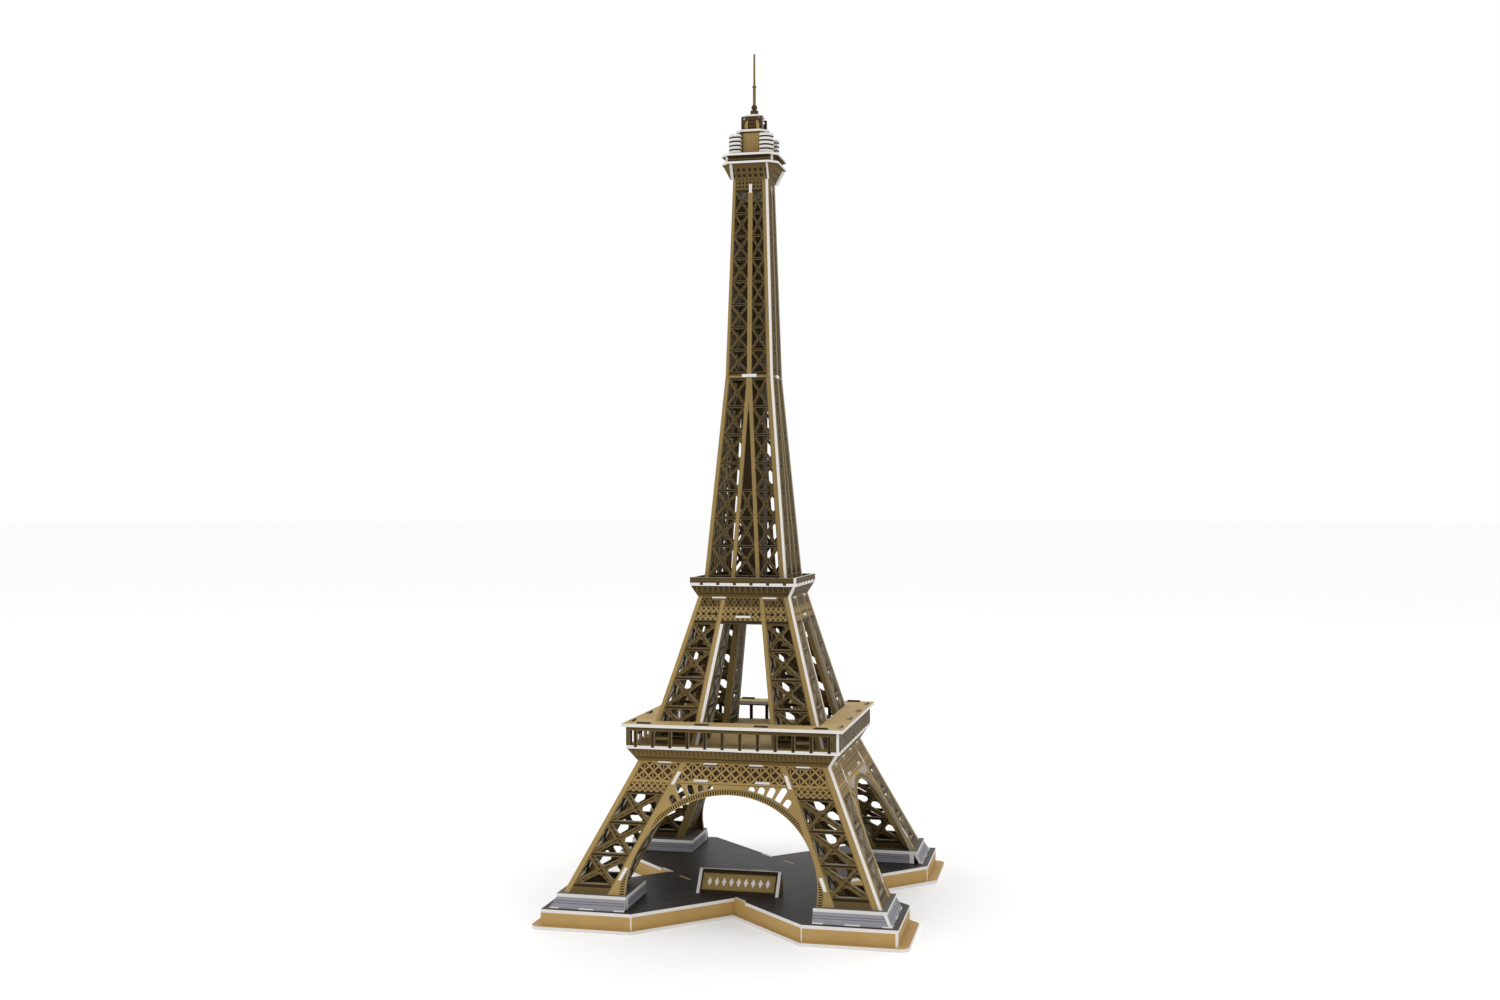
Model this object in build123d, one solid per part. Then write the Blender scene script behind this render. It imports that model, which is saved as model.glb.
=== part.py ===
from build123d import *
import os
from math import atan, cos, radians, sin

# Foam-board puzzle model of a four-legged lattice tower. Millimetres, +Z up. The origin is the
# middle of the base plate's underside, and the front, with the nameplate, faces -Y. Every board
# is a die-cut sheet; the leaning ones are cut level with the table along their top and bottom.

# Boards
board = 2.8                  # foam board thickness
thin_board = 2.0             # thinner sheets at the very top
play = 0.06                  # room round a tab in its slot
tie_room = 0.1               # room between a plate and the boards round it
smallest_opening = 3.0       # square millimetres; smaller gaps in a lattice are left as board

# Base
base_half = 152.9            # table centre to the outer face of the end walls
arm_end = 80.0               # length of each straight wall at the end of an arm
notch_apex = 81.4            # table centre to the point of each V notch
skirt_top = 13.7
flange_side, flange_front, flange_notch = 8.6, 4.6, 3.5
flange_round = 8.0
edge_tab = 17.0              # raised part of a notch wall, let into the deck's edge
rib_tab, rib_tab_off = 18.0, 28.8
neck_rib_half = 48.0
cross_rib_at, cross_rib_room = 25.0, 1.3 * board

# Nameplate
plate_half, plate_front, plate_lean, plate_rise = 34.4, 72.0, 14.6, 18.6
prop_foot, prop_head = 9.0, 3.0      # how far the props reach behind the plate

# Plinths under the four legs
plinth_bottom, plinth_out_top, plinth_in = 147.4, 142.4, 80.8
plinth_wall_top, plinth_top = 25.2, 28.0

# Lower stage
lower_top, lower_half_foot, lower_half_top = 134.7, 137.7, 86.6
leg_inner_edge = 45.2        # outer face to the inner edge of a leg, level
leg_strip, lower_strip, lower_back_strip = 6.3, 5.4, 4.5
lower_lattice = 3.0, 4.2, 2.2        # rail, bar and gusset
lower_rails = (34.4, 58.6, 84.2, 109.0)
arch_radius, arch_spring, arch_ring = 83.0, 34.7, 5.2
arcade_first, arcade_step, arcade_count = 11.9, 5.35, 7
arcade_bar, band_bottom = 2.6, 118.0
lower_tie = 118.7

# Gallery round the first platform
cornice_top, cornice_half = 146.4, 94.3
gallery_half = 95.0
gallery_beam, roof_bottom = 162.3, 165.8
roof_half, roof_opening = 98.5, 74.7
post_pitch, post_width = 15.7, 2.9
foot_depth, parapet_foot = 1.4, 2.0

# Middle stage
middle_top, middle_half_top = 277.9, 42.7
middle_half_foot = 79.4
portal_half_foot, portal_half_top, portal_top = 33.3, 17.7, 253.8
middle_strip, middle_back_strip = 4.3, 3.0
middle_lattice = 2.8, 3.1, 1.8
middle_back_lattice = 2.8, 4.2, 1.8  # the panels behind have wider bars
middle_rails = (154.5, 180.4, 205.7, 231.0, 254.6)
middle_tie = 258.9

# Second platform
upper_cornice_top, upper_cornice_half = 287.9, 48.3
deck_half, parapet_top, parapet_pitch = 48.9, 295.6, 15.3

# Shaft
shaft_joint, shaft_half_foot, shaft_half_joint = 479.4, 38.4, 22.1
shaft_strip, inner_strip = 4.0, 3.5
shaft_lattice = 2.4, 2.3, 1.2
shaft_rails = (296.2, 323.4, 349.0, 374.2, 399.2, 425.0, 450.8, 476.4)
inner_strip_foot, inner_strip_meet, meet_height, slit_top = 11.7, 1.75, 458.0, 446.0
crossed_bays = 3             # bays of the middle panel that have an X
shaft_top, shaft_half_top = 660.0, 16.4
upper_rail_first, upper_rail_pitch, upper_bays = 481.9, 21.0, 8
upper_strip, centre_strip = 3.1, 2.1
upper_lattice = 2.2, 2.0, 1.0
core_half, core_top = 10.3, 640.0

# Third platform, cabin and mast
flare_top, flare_half = 673.1, 23.4
panel_half = 15.7
top_deck_half, top_deck_side = 26.5, 18.6
fascia_half, fascia_height = 22.2, 5.5
cabin_reach, cabin_panel_half, cabin_height = 13.6, 8.85, 21.9
disc_radius, disc_centre, disc_first, disc_pitch = 7.74, 13.25, 1.6, 3.75
disc_count, disc_board = 5, 2.2
roof_plate_half, roof_plate_side = 15.5, 8.5
cupola_half, cupola_height, cupola_clip = 10.2, 13.2, 0.7
cap_radius = 9.4
total_height = 780.0

deck_top = skirt_top + board
floor_top = cornice_top + board
roof_top = roof_bottom + board
upper_deck_top = upper_cornice_top + board
sides = ("front", "right", "back", "left")
corners = ("front_left", "front_right", "back_right", "back_left")


# ---- Outlines and boards ----

def loop(points, place):
    """Closed wire through the points. A point in a list of its own is the middle of an arc."""
    edges, middle = [], None
    start = place(*points[0])
    for point in points[1:] + points[:1]:
        if isinstance(point, list):
            middle = place(*point[0])
            continue
        end = place(*point)
        edges.append(Edge.make_three_point_arc(start, middle, end) if middle else Edge.make_line(start, end))
        start, middle = end, None
    return Wire(edges)


def cut_board(outline, holes, place, push):
    """A sheet of board: outline and holes laid out by place, given its thickness by push."""
    return Solid.extrude(Face(loop(outline, place), [loop(hole, place) for hole in holes]), Vector(*push))


def level_board(outline, bottom, thickness=board, holes=()):
    return cut_board(outline, holes, lambda x, y: Vector(x, y, bottom), (0, 0, thickness))


def block(low, high):
    size = [b - a for a, b in zip(low, high)]
    return Pos(*low) * Box(*size, align=(Align.MIN, Align.MIN, Align.MIN))


def square(half):
    return [(-half, -half), (half, -half), (half, half), (-half, half)]


def octagon(half, side):
    """Square of the given half width with its corners cut off, each side running from -side to side."""
    quarter = [(-side, -half), (side, -half)]
    return [turn(x, y, step) for step in range(4) for x, y in quarter]


def turn(x, y, quarters):
    for _ in range(quarters % 4):
        x, y = -y, x
    return x, y


def turned(shape, quarters):
    return Rot(0, 0, 90 * quarters) * shape


def all_round(shape):
    return [turned(shape, step) for step in range(4)]


def inset(points, distances):
    """Polygon, counter-clockwise, with each edge moved inwards by its own distance."""
    lines = []
    for index, (x0, y0) in enumerate(points):
        x1, y1 = points[(index + 1) % len(points)]
        run, rise = x1 - x0, y1 - y0
        length = (run * run + rise * rise) ** 0.5
        a, b = -rise / length, run / length
        lines.append((a, b, a * x0 + b * y0 + distances[index]))
    corners_moved = []
    for index, (a1, b1, c1) in enumerate(lines):
        a0, b0, c0 = lines[index - 1]
        scale = a0 * b1 - a1 * b0
        corners_moved.append(((c0 * b1 - c1 * b0) / scale, (a0 * c1 - a1 * c0) / scale))
    return corners_moved


def area(points):
    pairs = zip(points, points[1:] + points[:1])
    return sum(x0 * y1 - x1 * y0 for (x0, y0), (x1, y1) in pairs) / 2


def clipped(points, cut):
    """The corners cut off, so that the bars keep small gusset plates where they meet."""
    clipped_points = []
    for index, (x, y) in enumerate(points):
        for other in (points[index - 1], points[(index + 1) % len(points)]):
            length = ((other[0] - x) ** 2 + (other[1] - y) ** 2) ** 0.5
            share = min(cut / length, 0.3)
            clipped_points.append((x + (other[0] - x) * share, y + (other[1] - y) * share))
    return clipped_points


def crossed_bay(left, right, low, high, bar, gusset):
    """The four openings left by an X in a bay between two edges given as functions of height."""
    frame = [(left(low), low), (right(low), low), (right(high), high), (left(high), high)]
    (x0, y0), (x1, y1), (x2, y2), (x3, y3) = frame
    share = (x1 - x0) / ((x1 - x0) + (x2 - x3))
    centre = (x0 + (x2 - x0) * share, y0 + (y2 - y0) * share)
    holes = []
    for index in range(4):
        triangle = [frame[index], frame[(index + 1) % 4], centre]
        if area(triangle) <= 0:
            continue
        hole = inset(triangle, [0, bar / 2, bar / 2])
        same_way = sum((hole[1][axis] - hole[0][axis]) * (triangle[1][axis] - triangle[0][axis])
                       for axis in (0, 1))
        if same_way > 0 and area(hole) > smallest_opening:
            holes.append(clipped(hole, gusset))
    return holes


def column(left, right, rails, rail, bar, gusset):
    """Openings of a whole column of crossed bays between its rails."""
    holes = []
    for low, high in zip(rails, rails[1:]):
        holes += crossed_bay(left, right, low + rail / 2, high - rail / 2, bar, gusset)
    return holes


class Slope:
    """A straight stretch of the tower's side: half width against height, and its leaning boards."""

    def __init__(self, low, half_low, high, half_high):
        self.low, self.half_low = low, half_low
        self.rate = (half_high - half_low) / (high - low)
        self.lean = cos(atan(self.rate))
        self.run = board / self.lean      # thickness of the board measured level

    def half(self, z):
        return self.half_low + self.rate * (z - self.low)

    def front(self, outline, holes=(), back=0.0, thickness=None):
        """Board in the front face, set back by a level distance."""
        push = (0, self.run if thickness is None else thickness, 0)
        return cut_board(outline, holes, lambda x, z: Vector(x, back - self.half(z), z), push)


lower = Slope(plinth_top, lower_half_foot, lower_top, lower_half_top)
lower_cornice = Slope(lower_top, lower_half_top, cornice_top, cornice_half)
middle = Slope(floor_top, middle_half_foot, middle_top, middle_half_top)
portal = Slope(floor_top, portal_half_foot, portal_top, portal_half_top)
upper_cornice = Slope(middle_top, middle_half_top, upper_cornice_top, upper_cornice_half)
shaft = Slope(upper_deck_top, shaft_half_foot, shaft_joint, shaft_half_joint)
upper_shaft = Slope(shaft_joint, shaft_half_joint, shaft_top, shaft_half_top)
strip_line = Slope(upper_deck_top, inner_strip_foot, meet_height, inner_strip_meet)
flare = Slope(shaft_top, shaft_half_top, flare_top, flare_half)


def tab_slot(left, right, low, high):
    """Closed slot in a leaning board for a level or upright tab, a little larger than the tab."""
    return [(left(low) - play, low - play), (right(low) + play, low - play),
            (right(high) + play, high + play), (left(high) - play, high + play)]


def constant(value):
    return lambda z: value


# ---- Base ----

arm_bend = base_half - arm_end
base_outline = []
for step in range(4):
    quarter = [(-base_half, -base_half), (-arm_bend, -base_half), (0, -notch_apex), (arm_bend, -base_half)]
    base_outline += [turn(x, y, step) for x, y in quarter]
skirt_inner = inset(base_outline, [board] * 16)


def base_plate():
    moves = []
    for step in range(4):
        end = -flange_front if step % 2 == 0 else -flange_side
        moves += [end, -flange_notch, -flange_notch, end]
    plate = Face(Wire.make_polygon([Vector(x, y, 0) for x, y in inset(base_outline, moves)]))
    tips = [v for v in plate.vertices() if abs(v.X) + abs(v.Y) > 2 * base_half]
    return Solid.extrude(plate.fillet_2d(flange_round, tips), Vector(0, 0, board))


def edge_tab_end():
    """How far along a notch wall its raised tab runs, as a share of the wall."""
    rise = base_half - notch_apex
    return edge_tab / (arm_bend ** 2 + rise ** 2) ** 0.5


def between(a, b, share):
    return a[0] + (b[0] - a[0]) * share, a[1] + (b[1] - a[1]) * share


def edge_tab_outline(step, room):
    """Plan of the raised tab beside the apex of a notch, on the wall that leads to the tabbed arm."""
    index = 4 * step + 2
    other = index + 1 if step % 2 == 0 else index - 1
    outer = base_outline[index], base_outline[other]
    inner = skirt_inner[index], skirt_inner[other]
    share = edge_tab_end()
    corners_of_tab = [outer[0], between(*outer, share), between(*inner, share), inner[0]]
    if step % 2:
        corners_of_tab.reverse()
    if room:
        out = corners_of_tab.index(outer[0])
        moves = [room] * 4
        moves[out if step % 2 == 0 else out - 1] = board
        return inset(corners_of_tab, [-move for move in moves])
    return corners_of_tab


def base_walls():
    ends, notches = [], []
    for index in range(16):
        after = (index + 1) % 16
        start, stop = base_outline[index], base_outline[after]
        wall = [start, stop, skirt_inner[after], skirt_inner[index]]
        corner = index % 4 == 0, after % 4 == 0
        if corner[0]:        # a wall that starts at an arm's corner covers its neighbour's edge
            back = turn(0, board, index // 4)
            wall[3] = (start[0] + back[0], start[1] + back[1])
        if corner[1]:        # and one that ends there stops short of it
            back = turn(-board, 0, index // 4)
            wall[1] = (stop[0] + back[0], stop[1] + back[1])
        solid = level_board(wall, board, skirt_top - board)
        if index % 4 in (1, 2) and tabbed_wall(index):
            solid += level_board(edge_tab_outline(index // 4, 0), skirt_top)
            notches.append(solid)
        elif index % 4 in (1, 2):
            notches.append(solid)
        else:
            ends.append(solid)
    return ends, notches


def tabbed_wall(index):
    """Only the notch walls that lead to the front right and back left arms carry a raised tab."""
    return index % 4 == (2 if (index // 4) % 2 == 0 else 1)


def neck_rib(step):
    """Rib across the neck of an arm, from notch to notch. Every other one has tabs through the deck."""
    centre = between((0, -notch_apex), (notch_apex, 0), 0.5)
    place = Pos(*centre, 0) * Rot(0, 0, 45)
    rib = block((-neck_rib_half, -board / 2, board), (neck_rib_half, board / 2, skirt_top))
    slots = []
    for middle_x in (-rib_tab_off, rib_tab_off) if step % 2 else ():
        low, high = middle_x - rib_tab / 2, middle_x + rib_tab / 2
        rib += block((low, -board / 2, skirt_top), (high, board / 2, deck_top))
        slots.append(place * block((low - play, -board / 2 - play, skirt_top - 1),
                                   (high + play, board / 2 + play, deck_top + 1)))
    return turned(place * rib, step), [turned(slot, step) for slot in slots]


def cross_rib(side):
    """Rib along X under the middle of the deck, with one tab."""
    reach = notch_apex - cross_rib_at - cross_rib_room
    y = side * cross_rib_at
    tab = rib_tab / 2 - 0.5
    rib = block((-reach, y - board / 2, board), (reach, y + board / 2, skirt_top))
    rib += block((-tab, y - board / 2, skirt_top), (tab, y + board / 2, deck_top))
    slot = block((-tab - play, y - board / 2 - play, skirt_top - 1),
                 (tab + play, y + board / 2 + play, deck_top + 1))
    return rib, slot


# ---- Nameplate ----

plate_slope = Slope(deck_top, plate_front, deck_top + plate_rise, plate_front - plate_lean)
plate_tabs = (-21.5, 21.5)
plate_tab_half, plate_tab_end = 6.2, skirt_top + 0.4


def nameplate():
    top = deck_top + plate_rise
    outline = [(-plate_half, deck_top)]
    for middle_x in plate_tabs:
        left, right = middle_x - plate_tab_half, middle_x + plate_tab_half
        outline += [(left, deck_top), (left, plate_tab_end), (right, plate_tab_end), (right, deck_top)]
    outline += [(plate_half, deck_top), (plate_half, top), (-plate_half, top)]
    return plate_slope.front(outline)


def nameplate_slots():
    front, back = -plate_slope.half(skirt_top) - 0.6, -plate_slope.half(deck_top) + plate_slope.run + play
    return [block((x - plate_tab_half - play, front, skirt_top - 1),
                  (x + plate_tab_half + play, back, deck_top + 1)) for x in plate_tabs]


def nameplate_props():
    top = deck_top + plate_rise
    side = [(-plate_front, deck_top), (plate_lean - plate_front + prop_foot, deck_top),
            (plate_lean - plate_front + prop_head, top), (plate_lean - plate_front, top)]
    return [cut_board(side, (), lambda y, z, x=x: Vector(x, y, z), (board, 0, 0))
            for x in (-plate_half - board, plate_half)]


# ---- Plinths ----

def plinth_walls(step):
    """Two sloping outer walls and two upright inner ones round the foot of one leg."""
    outer = Slope(deck_top, plinth_bottom, plinth_wall_top, plinth_out_top)
    low, high = deck_top, plinth_wall_top
    in_edge = -plinth_in
    front = outer.front([(-outer.half(low), low), (in_edge, low), (in_edge, high),
                         (-outer.half(high), high)])
    side = outer.front([(plinth_in, low), (outer.half(low) - outer.run, low),
                        (outer.half(high) - outer.run, high), (plinth_in, high)])
    inside = outer.half(high) - outer.run
    inner_front = block((in_edge - board, -inside, low), (in_edge, in_edge, high))
    inner_side = block((-inside, in_edge - board, low), (in_edge - board, in_edge, high))
    walls = [front, turned(side, 3), inner_front, inner_side]
    return [turned(wall, step) for wall in walls]


def plinth_cap(step):
    cap = block((-plinth_out_top, -plinth_out_top, plinth_wall_top), (-plinth_in, -plinth_in, plinth_top))
    return turned(cap, step)


# ---- Lower stage ----

def inner_edge(z):
    return lower.half(z) - leg_inner_edge


panel_shift = 0.8            # the inner leg panels stand this far inside the edge of the leg
inner_tabs = ((39.4, 49.4), (116.4, 127.0))


def panel_line(z):
    """Face, towards the tower's axis, of an inner leg panel."""
    return inner_edge(z) + panel_shift


def arch_line(radius, angle):
    """Point on a circle about the arch's centre, in the leaning face, as x and height."""
    along, up = radius * sin(radians(angle)), radius * cos(radians(angle))
    return along, arch_spring + up * lower.lean


def arcade_opening(angle):
    """Arched slot that points away from the arch's centre, up to the band or to the leg's edge."""
    s, c = sin(radians(angle)), cos(radians(angle))
    inner = arch_radius + arch_ring + 0.8
    rim = 1.2
    to_band = (band_bottom - rim - arch_spring) / lower.lean / c
    room = inner_edge(arch_spring) - rim
    to_leg = room / (s - lower.rate * lower.lean * c)
    outer = min(to_band, to_leg)
    half = (radians(arcade_step) * inner - arcade_bar) / 2
    if outer - inner < half:
        return None

    def at(along, across):
        x, up = along * s + across * c, along * c - across * s
        return x, arch_spring + up * lower.lean

    return [at(inner, half), at(outer - half, half), [at(outer, 0)],
            at(outer - half, -half), at(inner, -half)]


def mirrored(hole):
    flipped = []
    for point in reversed(hole):
        arc = isinstance(point, list)
        x, z = point[0] if arc else point
        flipped.append([(-x, z)] if arc else (-x, z))
    return flipped


tie_tabs = (-27.5, 27.5)
tie_tab_half = 6.5
top_tabs = (-62.0, -20.5, 20.5, 62.0)
top_tab_half = 6.2


def lower_facade():
    """One side of the lower stage: two leg faces, the arch between them and the band above."""
    foot, top = plinth_top, lower_top
    run = lower.run
    outline = [(-lower.half(foot), foot), (-arch_radius, foot), (-arch_radius, arch_spring),
               [arch_line(arch_radius, 0)], (arch_radius, arch_spring), (arch_radius, foot),
               (lower.half(foot) - run, foot), (lower.half(top) - run, top)]
    for x in reversed(top_tabs):
        left, right = x - top_tab_half - play, x + top_tab_half + play
        outline += [(right, top), (right, top - board - play), (left, top - board - play), (left, top)]
    outline += [(-lower.half(top), top)]

    def strip_outer(z):
        return lower.half(z) - leg_inner_edge + leg_strip

    holes = column(lambda z: lower_strip - lower.half(z), lambda z: -strip_outer(z),
                   lower_rails, *lower_lattice)
    holes += column(strip_outer, lambda z: lower.half(z) - run - lower_strip,
                    lower_rails, *lower_lattice)
    for index in range(arcade_count):
        opening = arcade_opening(arcade_first + arcade_step * index)
        if opening:
            holes += [opening, mirrored(opening)]
    for low, high in inner_tabs:
        holes.append(tab_slot(panel_line, lambda z: panel_line(z) + run, low, high))
        holes.append(tab_slot(lambda z: -panel_line(z) - run, lambda z: -panel_line(z), low, high))
    for x in tie_tabs:
        holes.append(tab_slot(constant(x - tie_tab_half), constant(x + tie_tab_half),
                              lower_tie, lower_tie + board))
    return lower.front(outline, holes)


def lower_leg_inner():
    """The two inner panels of the front left leg, each tabbed through the face that it meets."""
    foot, top = plinth_top, lower_top - board
    run = lower.run

    def outer(z):
        return lower.half(z) - run

    def outline(shorter):
        points = [(-outer(foot), foot), (-panel_line(foot) - shorter, foot),
                  (-panel_line(top) - shorter, top), (-outer(top), top)]
        for low, high in reversed(inner_tabs):
            points += [(-outer(high), high), (-lower.half(high), high),
                       (-lower.half(low), low), (-outer(low), low)]
        return points

    holes = column(lambda z: lower_strip - outer(z), lambda z: -panel_line(z) - run - lower_back_strip,
                   lower_rails, *lower_lattice)
    return [cut_board(outline(0), holes, lambda y, z: Vector(-panel_line(z), y, z), (-run, 0, 0)),
            cut_board(outline(run), holes, lambda x, z: Vector(x, -panel_line(z), z), (0, -run, 0))]


def cross_plate(half, arm, bottom, tab_half, tab_reach, tab_places):
    """Level tie plate: a cross whose arms end in tabs."""
    outline = []
    for step in range(4):
        side = [(-arm, -arm), (-arm, -half)] if arm < half else [(-half, -half)]
        for x in tab_places:
            side += [(x - tab_half, -half), (x - tab_half, -tab_reach), (x + tab_half, -tab_reach),
                     (x + tab_half, -half)]
        side += [(arm, -half)] if arm < half else []
        outline += [turn(x, y, step) for x, y in side]
    return level_board(outline, bottom)


def lower_tie_plates():
    high = lower_tie + board
    tie = cross_plate(lower.half(high) - lower.run - tie_room, panel_line(high) - tie_room, lower_tie,
                      tie_tab_half, lower.half(high), tie_tabs)
    half = lower.half(lower_top) - lower.run - tie_room
    top = cross_plate(half, half, lower_top - board, top_tab_half, lower.half(lower_top), top_tabs)
    return [tie, top]


def cornice(slope, low, high):
    """Leaning board round the underside of a platform: it covers one neighbour and meets the other."""
    run = slope.run
    return slope.front([(-slope.half(low), low), (slope.half(low) - run, low),
                        (slope.half(high) - run, high), (-slope.half(high), high)])


# ---- Gallery ----

posts = [post_pitch * (index - 5.5) for index in range(12)]
roof_tabs = (-79.0, -26.5, 26.5, 79.0)
roof_tab_half, roof_tab_rise = 6.3, 1.6
barred_bays = (1, 9)         # bays, counted from the left post, that have a cross rail
bay_rail = (155.0, 157.0)
leg_tab_places = (-56.0, 56.0)
leg_tab_half = 6.0


def foot_notches(places, half, top, width, depth):
    return [turned(block((x - width / 2 - play, -half - 1, top - depth),
                         (x + width / 2 + play, -half + board + play, top + 1)), step)
            for step in range(4) for x in places]


def gallery_floor():
    floor = level_board(square(gallery_half), cornice_top)
    slots = foot_notches(posts, gallery_half, floor_top, post_width, foot_depth)
    front, back = -middle.half(cornice_top), -middle.half(floor_top) + middle.run
    for step in range(4):
        slots += [turned(block((x - leg_tab_half - play, front - play, cornice_top - 1),
                               (x + leg_tab_half + play, back + play, floor_top + 1)), step)
                  for x in leg_tab_places]
    return floor - slots


def gallery_arcade():
    """One side of the gallery: a beam on posts whose feet are let into the floor's edge."""
    left, right, low, beam = -gallery_half, gallery_half - board, floor_top, gallery_beam
    stile = 3.0
    outline = [(left, low), (left + stile, low)]
    edges = [left + stile]
    for x in posts:
        outline += [(edges[-1], beam), (x - post_width / 2, beam), (x - post_width / 2, low - foot_depth),
                    (x + post_width / 2, low - foot_depth)]
        edges.append(x + post_width / 2)
    outline += [(edges[-1], beam), (right - stile, beam), (right - stile, low), (right, low),
                (right, roof_bottom)]
    for x in reversed(roof_tabs):
        outline += [(x + roof_tab_half, roof_bottom), (x + roof_tab_half, roof_top + roof_tab_rise),
                    (x - roof_tab_half, roof_top + roof_tab_rise), (x - roof_tab_half, roof_bottom)]
    outline += [(left, roof_bottom)]
    wall = cut_board(outline, (), lambda x, z: Vector(x, -gallery_half, z), (0, board, 0))
    for bay in barred_bays:
        wall += block((posts[bay] + post_width / 2, -gallery_half, bay_rail[0]),
                      (posts[bay + 1] - post_width / 2, board - gallery_half, bay_rail[1]))
    return wall


def gallery_roof():
    roof = level_board(square(roof_half), roof_bottom, holes=[square(roof_opening)])
    slots = [turned(block((x - roof_tab_half - play, -gallery_half - play, roof_bottom - 1),
                          (x + roof_tab_half + play, board - gallery_half + play, roof_top + 1)), step)
             for step in range(4) for x in roof_tabs]
    return roof - slots


# ---- Middle stage ----

middle_tie_half = 7.0
middle_top_tabs = (-23.3, 23.3)


def middle_facade():
    """One side of the middle stage: two leg faces joined above the portal."""
    foot, top, run = floor_top, middle_top, middle.run
    covered = portal.run         # the left leg's inner panel shows its edge beside this board

    def portal_left(z):
        return -portal.half(z) - covered

    left_tab, right_tab = [[(x - leg_tab_half, foot), (x - leg_tab_half, cornice_top),
                            (x + leg_tab_half, cornice_top), (x + leg_tab_half, foot)]
                           for x in leg_tab_places]
    outline = [(-middle.half(foot), foot)] + left_tab
    outline += [(portal_left(foot), foot), (portal_left(portal_top), portal_top),
                (portal.half(portal_top), portal_top), (portal.half(foot), foot)] + right_tab
    outline += [(middle.half(foot) - run, foot), (middle.half(top) - run, top)]
    for x in reversed(middle_top_tabs):
        left, right = x - tie_tab_half - play, x + tie_tab_half + play
        outline += [(right, top), (right, top - board - play), (left, top - board - play), (left, top)]
    outline += [(-middle.half(top), top)]
    holes = column(lambda z: middle_strip - middle.half(z), lambda z: portal_left(z) - middle_strip,
                   middle_rails, *middle_lattice)
    holes += column(lambda z: portal.half(z) + middle_strip, lambda z: middle.half(z) - run - middle_strip,
                    middle_rails, *middle_lattice)
    holes.append(tab_slot(constant(-middle_tie_half), constant(middle_tie_half),
                          middle_tie, middle_tie + board))
    return middle.front(outline, holes)


def middle_leg_inner():
    """Inner panels of the front left leg: one shows its edge at the front, one stops behind the side."""
    foot, top, run, inner = floor_top, middle_tie, middle.run, portal.run
    bent = [(-middle.half(foot), foot), (-portal.half(foot), foot), (-portal.half(top), top),
            (-middle.half(top) + run, top), (-middle.half(portal_top) + run, portal_top),
            (-middle.half(portal_top), portal_top)]
    first_holes = column(lambda z: middle_strip - middle.half(z) + run,
                         lambda z: -portal.half(z) - inner - middle_back_strip,
                         middle_rails, *middle_back_lattice)
    second = [(-middle.half(foot) + run, foot), (-portal.half(foot) - inner, foot),
              (-portal.half(top) - inner, top), (-middle.half(top) + run, top)]
    return [cut_board(bent, first_holes, lambda y, z: Vector(-portal.half(z), y, z), (-inner, 0, 0)),
            cut_board(second, first_holes, lambda x, z: Vector(x, -portal.half(z), z), (0, -inner, 0))]


def middle_tie_plates():
    high = middle_tie + board
    half = middle.half(high) - middle.run - tie_room
    tie = cross_plate(half, half, middle_tie, middle_tie_half, middle.half(high), (0,))
    half = middle.half(middle_top) - middle.run - tie_room
    top = cross_plate(half, half, middle_top - board, tie_tab_half, middle.half(middle_top), middle_top_tabs)
    return [tie, top]


# ---- Second platform ----

parapet_posts = [parapet_pitch * (index - 2.5) for index in range(6)]
shaft_tab_places = (-24.5, 24.5)
shaft_tab_half = 4.5


def middle_deck():
    deck = level_board(square(deck_half), upper_cornice_top)
    slots = foot_notches(parapet_posts, deck_half, upper_deck_top, post_width, parapet_foot)
    front, back = -shaft.half(upper_cornice_top), -shaft.half(upper_deck_top) + shaft.run
    for step in range(4):
        slots += [turned(block((x - shaft_tab_half - play, front - play, upper_cornice_top - 1),
                               (x + shaft_tab_half + play, back + play, upper_deck_top + 1)), step)
                  for x in shaft_tab_places]
    return deck - slots


def parapet():
    low, high = upper_deck_top, parapet_top
    outline = [(-deck_half, low)]
    for x in parapet_posts:
        outline += [(x - post_width / 2, low), (x - post_width / 2, low - parapet_foot),
                    (x + post_width / 2, low - parapet_foot), (x + post_width / 2, low)]
    outline += [(deck_half - board, low), (deck_half - board, high), (-deck_half, high)]
    return cut_board(outline, (), lambda x, z: Vector(x, -deck_half, z), (0, board, 0))


# ---- Shaft ----

joint_tab_half = 6.8


def shaft_lower():
    """One side of the lower shaft: a crossed column each side and a pointed panel between them."""
    foot, top, run = upper_deck_top, shaft_joint, shaft.run
    outline = [(-shaft.half(foot), foot)]
    for x in shaft_tab_places:
        outline += [(x - shaft_tab_half, foot), (x - shaft_tab_half, upper_cornice_top),
                    (x + shaft_tab_half, upper_cornice_top), (x + shaft_tab_half, foot)]
    tab = joint_tab_half + play
    cut = top - board / 2 - play
    outline += [(shaft.half(foot) - run, foot), (shaft.half(top) - run, top), (tab, top), (tab, cut),
                (-tab, cut), (-tab, top), (-shaft.half(top), top)]

    def strip_out(z):
        return max(strip_line.half(z), inner_strip_meet / 2) + inner_strip / 2

    holes = column(lambda z: shaft_strip - shaft.half(z), lambda z: -strip_out(z),
                   shaft_rails, *shaft_lattice)
    holes += column(strip_out, lambda z: shaft.half(z) - run - shaft_strip,
                    shaft_rails, *shaft_lattice)

    def strip_in(z):
        return strip_line.half(z) - inner_strip / 2

    holes += column(lambda z: -strip_in(z), strip_in, shaft_rails[:crossed_bays + 1],
                    *shaft_lattice)
    low, point = shaft_rails[crossed_bays] + shaft_lattice[0] / 2, slit_top
    holes.append([(-strip_in(low), low), (strip_in(low), low),
                  (strip_in(point), point), (-strip_in(point), point)])
    return shaft.front(outline, holes)


spread_slot = (647.6, 655.9)


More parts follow.
